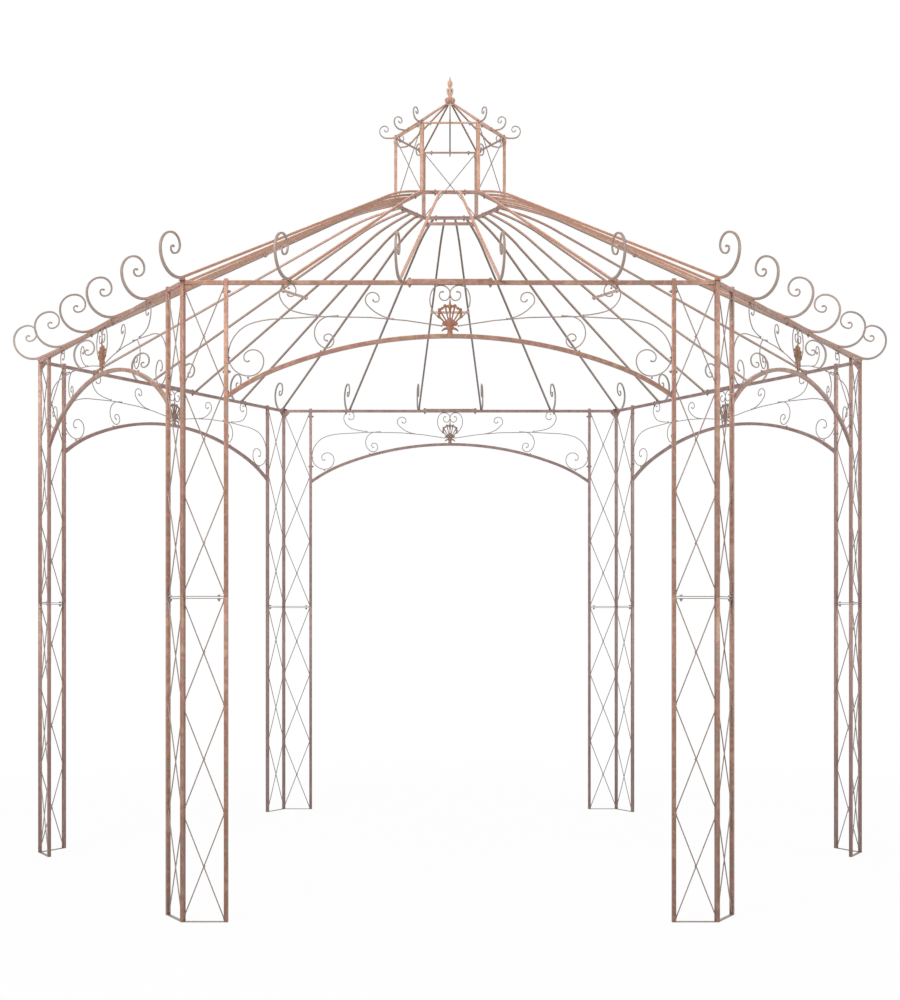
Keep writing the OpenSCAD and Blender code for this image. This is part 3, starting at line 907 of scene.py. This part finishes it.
def painted_iron(name, outer, inner, rubbed="#d0ad9c", dust="#8b7565", painted_light_span=(-0.6, 0.3),
                 patch_mm=75, metallic=0.2, roughness=0.45, rub_gain=0.4, painted_height_shade=(1.0, 1.0),
                 shade_side=PAINTED_SHADE_SIDE):
    """Copper paint over a grey undercoat, with light and shade painted in by facing: the faces
    turned out and up take the outer tones and those turned in and down the inner ones; patches of
    several browns, fine grain, and a paler copper on the corners, where the paint is scuffed thin
    and a painted highlight runs.

    outer and inner: tones of the faces turned out and of those turned in, which paint in their
    light and shade. rubbed and dust: the paler corners, scuffed and with a painted highlight, and
    the stains. cover: over which facings the inner tones give way to the outer. soiled: how light
    the paint is at the ground and at the eaves, a painted shade low down and a painted light
    high up."""
    material = bpy.data.materials.new(name)
    tree = fresh_tree(material)
    coordinates = put(tree, "TexCoord").outputs
    place = coordinates["Object"]
    spread = put(tree, "TexNoise", {
        "Vector": place, "Scale": 1000 / patch_mm, "Detail": 2.0, "Roughness": 0.45})
    patches = spread.outputs["Fac"]
    # painted light and shade by facing: the outer tones on faces turned out and up, the inner ones
    # on faces turned in and down
    lit_and_shaded_tones = put(tree, "Mix", {
        "data_type": "RGBA", 0: painted_light_share(tree, place, coordinates["Normal"], painted_light_span),
        6: patches_of(tree, inner, patches), 7: patches_of(tree, outer, patches)})
    # in the curls, which were bent hot, and on the strips the copper coat is thin all round
    bare = put(tree, "Attribute", {"attribute_name": "bare"})
    bare_share = put(tree, "MapRange", {"Value": bare.outputs["Fac"], "To Max": BARE_SHARE})
    thin = put(tree, "Mix", {
        "data_type": "RGBA", 0: bare_share.outputs["Result"], 6: lit_and_shaded_tones.outputs[2],
        7: colour(UNDERCOAT)})
    # brush streaks and stains
    stains = put(tree, "TexNoise", {
        "Vector": place, "Scale": STAINS_PER_M, "Detail": 4.0, "Roughness": 0.6}).outputs["Fac"]
    stain_share = put(tree, "MapRange", {
        "Value": stains, "From Min": 0.48, "From Max": 0.72, "To Max": STAIN_SHARE})
    # painted shade towards the ground and on the side away from the light, and painted light
    # towards the eaves
    stained = put(tree, "Mix", {
        "data_type": "RGBA", 0: stain_share.outputs["Result"],
        6: painted_light_and_shade(tree, place, thin.outputs[2], painted_height_shade, shade_side), 7: colour(dust)})
    # paler corners, where the paint is rubbed and a painted highlight runs, broken up by a finer
    # grain
    grain = put(tree, "TexNoise", {
        "Vector": place, "Scale": GRAIN_PER_M, "Detail": 3.0, "Roughness": 0.65}).outputs["Fac"]
    rub = put(tree, "Attribute", {"attribute_name": "rub"})
    wear_and_glint = put(tree, "Math", {"operation": "MULTIPLY", 0: rub.outputs["Fac"], 1: grain})
    wear_and_glint_share = put(tree, "MapRange", {
        "Value": wear_and_glint.outputs["Value"], "From Min": 0.12, "From Max": 0.6, "To Max": rub_gain})
    face = put(tree, "Mix", {
        "data_type": "RGBA", 0: wear_and_glint_share.outputs["Result"], 6: stained.outputs[2],
        7: colour(rubbed)})
    sheen = put(tree, "MapRange", {
        "Value": stains, "From Min": 0.3, "From Max": 0.7,
        "To Min": roughness - 0.07, "To Max": roughness + 0.09})
    bump = put(tree, "Bump", {"Strength": 0.25, "Distance": 0.0004, "Height": grain})
    shader = put(tree, "BsdfPrincipled", {
        "Base Color": face.outputs[2], "Roughness": sheen.outputs["Result"],
        "Metallic": metallic, "Normal": bump.outputs["Normal"]})
    put(tree, "OutputMaterial", {"Surface": shader.outputs["BSDF"]})
    return material


POST_TONES = ("#9d8577", "#a17868", "#b6907e", "#a0766e", "#a3836a", "#bb9988")
GREY_TONES = ("#9a827c", "#957672", "#a78b84", "#997573")
# Drawn square tube, wire-brushed, undercoated and brushed with copper paint, then left out in
# the weather: soft brown and rose patches a hand long, with painted shade darker at the foot,
# painted light paler high up, and greyer tones on the faces turned in and down as painted shade.
tube_paint = painted_iron("antique_copper_paint_on_tube", POST_TONES, GREY_TONES,
                          painted_height_shade=(0.68, 1.08))
# The same tube bent cold over a former and painted with it, under a deeper painted shade from
# the ground up: a shade deeper at the eaves.
arch_paint = painted_iron("antique_copper_paint_on_bent_tube", POST_TONES, GREY_TONES,
                          painted_height_shade=(0.55, 0.96))
# Square bar on the roof, with painted light on top and painted shade, grey-brown, underneath,
# and painted shade, darker and duller, towards the back.
bar_paint = painted_iron("antique_copper_paint_on_bar",
                         ("#d3a086", "#cc977b", "#dbab92", "#d19783", "#d0a081"),
                         ("#78685f", "#71625a", "#807067", "#74635b"),
                         "#d9b9a6", "#8a7466", (-0.6, 0.4), 80, shade_side=ROOF_PAINTED_SHADE_SIDE)
# The braces were painted on the bench before they were bolted up: browner on top as painted
# shade, and pale rose underneath as painted light.
brace_paint = painted_iron("antique_copper_paint_on_brace_tube",
                           ("#a5827a", "#9e7b72", "#ad8a80", "#a37a76"),
                           ("#ccb0a4", "#c5a89c", "#d3b8ac", "#c8a9a1"),
                           painted_light_span=(-0.3, 0.6), patch_mm=60)
# The lantern stands highest and is the most bleached: a pale, even copper.
lantern_paint = painted_iron("bleached_copper_paint_on_lantern_tube",
                             ("#ca9f88", "#c4947a", "#d4ad95", "#c49486"),
                             ("#ac8c7c", "#a78576", "#b59584", "#aa887e"),
                             "#dfbda8", "#977767", patch_mm=60)
# Round rod as it came from drawing, with one thin dip of bronze paint: grey with a warm cast.
rod_paint = painted_iron("bronze_paint_on_drawn_rod",
                         ("#9f918b", "#988881", "#a79891", "#9b8984"),
                         ("#9b8e8a", "#968884", "#a39691", "#988a86"),
                         "#bdaca3", "#887a74", (-0.5, 0.5), 80, 0.25, painted_height_shade=(0.86, 1.0))
# Sand-cast iron with thick paint: the strongest, reddest brown; the faces turned in and down
# take greyer tones as painted shade.
cast_paint = painted_iron("copper_paint_on_sand_casting",
                          ("#8d6a58", "#9d725e", "#926455", "#967555"),
                          ("#88736b", "#90796e", "#846e67", "#8b7760"),
                          "#d6ad98", "#7c5f52", (-0.7, 0.1), 40, roughness=0.5, rub_gain=0.6)
# The finial is cast too, and bleached all round at the top: pale, with rubbed leaf edges.
FINIAL_TONES = ("#d6b29a", "#cba389", "#dfbfa7", "#bea696")
finial_paint = painted_iron("pale_copper_paint_on_sand_casting", FINIAL_TONES, FINIAL_TONES,
                            "#f0dac9", "#958780", (-0.7, 0.1), 24, 0.15, 0.5, 0.6)
# Zinc-plated bolts painted over with the frame: dull brown heads with bright worn corners.
bolt_paint = painted_iron("copper_paint_over_zinc_bolts",
                          ("#9c8073", "#a88a7b", "#957c70"), ("#8f7a70", "#987f74", "#8a756d"),
                          "#c5aa9a", "#77645a", patch_mm=30, metallic=0.25, roughness=0.5,
                          rub_gain=0.5)
# Bolts put in when the posts were stood up, left as plated: a dull pale grey.
bolt_zinc = painted_iron("dull_zinc_plate_on_bolts",
                         ("#a09894", "#aaa29e", "#988f8b"), ("#9a928e", "#a39b97", "#928a86"),
                         "#c2bab6", "#7b736f", patch_mm=30, metallic=0.3, roughness=0.5,
                         rub_gain=0.5)


# ---- making pieces ----
SHARP = math.radians(48)    # an edge that turns by more than this stays crisp


def mesh_of(name, work):
    mesh = bpy.data.meshes.new(name)
    mesh.from_pydata(np.vstack(work.points) * MM, [], work.faces)
    mesh.update()
    # marks per point: paint scuffed off, with a painted highlight on the corners, and paint thin
    # over the undercoat
    for mark, values in (("rub", work.rub), ("bare", work.bare)):
        layer = mesh.attributes.new(mark, "FLOAT", "POINT")
        layer.data.foreach_set("value", np.concatenate(values).astype(np.float32))
    mesh.shade_smooth()
    mesh.set_sharp_from_angle(angle=SHARP)
    return mesh


def stand(name, data):
    """Puts an object in the scene."""
    thing = bpy.data.objects.new(name, data)
    bpy.context.scene.collection.objects.link(thing)
    return thing


def piece(name, work, material, stands_for=()):
    """Makes one visible piece on the frame, in place of the CAD nodes it stands for."""
    mesh = mesh_of(name, work)
    mesh.materials.append(material)
    made = stand(name, mesh)
    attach(made, "root")
    if stands_for:
        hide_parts(*stands_for)


def make_posts():
    for k in SIDES:
        for level, lower in (("lower", True), ("upper", False)):
            tubes, rods, bolts = [work.placed(on_corner(k)) for work in post_pieces(lower)]
            node = f"post_{k}_{level}"
            piece(f"{node}_tubes", tubes, tube_paint, [node])
            piece(f"{node}_lattice", rods, rod_paint)
            piece(f"{node}_bolts", bolts, bolt_zinc if lower else bolt_paint)


def make_sides():
    eaves, eaves_bolts = eaves_pieces()
    arch, scrolls = arch_bar(), scroll_rods()
    roof, braces, roof_bolts = roof_pieces()
    hip = Metalwork()
    rafter(hip, 30, PACKING)
    # the head plate on the corner tube, and the packing piece on it
    turned(hip, (SIDE - 6, 0, EAVES_Z), Z, bar_section(38, 24, 2),
           [(0, 0.99), (0.5, 1), (2.6, 1), (3, 0.98)], X)
    turned(hip, (SIDE, 0, EAVES_Z + 3), Z, bar_section(18, RAFTER - 0.4, 1.2),
           [(0, 1), (PACKING - 2.5, 1)], X)
    shell = shell_casting()
    for k in SIDES:
        side, section = on_side(k), turn(60 * (k - 1) - 90)
        piece(f"eaves_bar_{k}_tube", eaves.placed(side), arch_paint,
              [f"eaves_bar_{k}"])
        fixings = eaves_bolts.placed(side)
        fixings.join(roof_bolts.placed(section))
        piece(f"side_{k}_bolts", fixings, bolt_paint)
        piece(f"arch_{k}_bar", arch.placed(side), arch_paint, [f"arch_panel_{k}"])
        piece(f"arch_{k}_scrolls", scrolls.placed(side), rod_paint)
        piece(f"roof_{k}_rafters", roof.placed(section), bar_paint,
              [f"roof_panel_{k}"])
        piece(f"roof_{k}_brace", braces.placed(section), brace_paint)
        piece(f"hip_{k}_rafter", hip.placed(turn(60 * (k - 1) - 60)), bar_paint,
              [f"hip_rafter_{k}"])
        piece(f"shell_{k}", shell.placed(side), cast_paint,
              ["arch_shells"] if k == 1 else ())


def make_top():
    ring, ring_bolts = ring_pieces()
    posts, post_bolts = lantern_pieces()
    bars, bar_bolts = lantern_rafters()
    hub, hub_bolts = hub_piece()
    piece("roof_ring_bars", ring, tube_paint, ["roof_ring"])
    piece("lantern_posts", posts, lantern_paint, ["lantern_frame"])
    piece("lantern_cross_rods", lantern_cross_rods(), rod_paint, ["lantern_crosses"])
    piece("lantern_roof_bars", bars, bar_paint, ["lantern_rafters"])
    piece("peak_hub", hub, lantern_paint, ["apex_hub"])
    piece("leaf_finial", finial_casting(), finial_paint, ["finial"])
    ring_bolts.join(bar_bolts)
    ring_bolts.join(hub_bolts)
    piece("lantern_bolts", ring_bolts, bolt_paint)
    piece("lantern_rail_clamps", post_bolts, bolt_zinc)


make_posts()
make_sides()
make_top()


# ---- studio ----
WHITE = (1, 1, 1, 1)
FLOOR_HALF = 60.0
LAMP_AIM = Vector((0, 0, 2.2))


def seen_by_eye(tree):
    """1 for camera, glossy and transmission rays."""
    ray = put(tree, "LightPath").outputs
    first = put(tree, "Math", {
        "operation": "MAXIMUM", 0: ray["Is Camera Ray"], 1: ray["Is Glossy Ray"]})
    both = put(tree, "Math", {
        "operation": "MAXIMUM", 0: first.outputs["Value"], 1: ray["Is Transmission Ray"]})
    return both.outputs["Value"]


def studio_floor():
    """A matt white floor. The camera sees it near white, with the gazebo's shadow left in
    round the feet, fading out farther away."""
    material = bpy.data.materials.new("matt_white_floor")
    tree = fresh_tree(material)
    matt = put(tree, "BsdfDiffuse", {"Color": (0.86, 0.86, 0.86, 1.0)})
    bright = put(tree, "Emission", {"Color": WHITE, "Strength": 1.0})
    place = put(tree, "TexCoord").outputs["Object"]
    distance = put(tree, "VectorMath", {"operation": "LENGTH", 0: place})
    fade = put(tree, "MapRange", {
        "Value": distance.outputs["Value"], "From Min": 3.0, "From Max": 6.0, "To Min": 0.95})
    share = put(tree, "Math", {
        "operation": "MULTIPLY", 0: seen_by_eye(tree), 1: fade.outputs["Result"]})
    seen = put(tree, "MixShader", {
        0: share.outputs["Value"], 1: matt.outputs["BSDF"], 2: bright.outputs["Emission"]})
    put(tree, "OutputMaterial", {"Surface": seen.outputs["Shader"]})
    mesh = bpy.data.meshes.new("floor")
    square = np.array([(-1, -1, 0), (1, -1, 0), (1, 1, 0), (-1, 1, 0)])
    mesh.from_pydata(square * FLOOR_HALF, [], [(0, 1, 2, 3)])
    mesh.materials.append(material)
    floor = stand("floor", mesh)
    floor.location.z = -0.0004     # just clear of the feet


def studio_world(soft_light):
    """White all round for the eye and for reflections, and a soft even light on the metal."""
    world = bpy.data.worlds.new("studio")
    bpy.context.scene.world = world
    tree = fresh_tree(world)
    light = put(tree, "Background", {"Color": WHITE, "Strength": soft_light})
    white = put(tree, "Background", {"Color": WHITE, "Strength": 1.0})
    sky = put(tree, "MixShader", {
        0: seen_by_eye(tree), 1: light.outputs["Background"], 2: white.outputs["Background"]})
    put(tree, "OutputWorld", {"Surface": sky.outputs["Shader"]})


def soft_box(name, at, size, power):
    """A square lamp aimed at the middle."""
    data = bpy.data.lights.new(name, "AREA")
    data.shape, data.size, data.energy = "SQUARE", size, power
    lamp = stand(name, data)
    lamp.location = at
    lamp.rotation_euler = (LAMP_AIM - Vector(at)).to_track_quat("-Z", "Y").to_euler()


studio_floor()
studio_world(0.5)
soft_box("soft_box_left", (-4.4, -7.2, 7.0), 4.0, 480)
soft_box("soft_box_right", (8.0, -2.5, 4.5), 4.0, 180)
soft_box("soft_box_back", (0.0, 7.5, 6.0), 5.0, 160)

# the eye stands in front at 1.12 m and looks level; the shift lifts the view to the finial
eye = bpy.data.cameras.new("eye")
eye.lens = 54.9
eye.shift_y = 0.1228
eye.clip_end = 200
camera = stand("eye", eye)
camera.location = (0, -7.44, 1.12)
camera.rotation_euler = (math.radians(90), 0, 0)
bpy.context.scene.camera = camera
bpy.context.scene.view_settings.view_transform = "Standard"
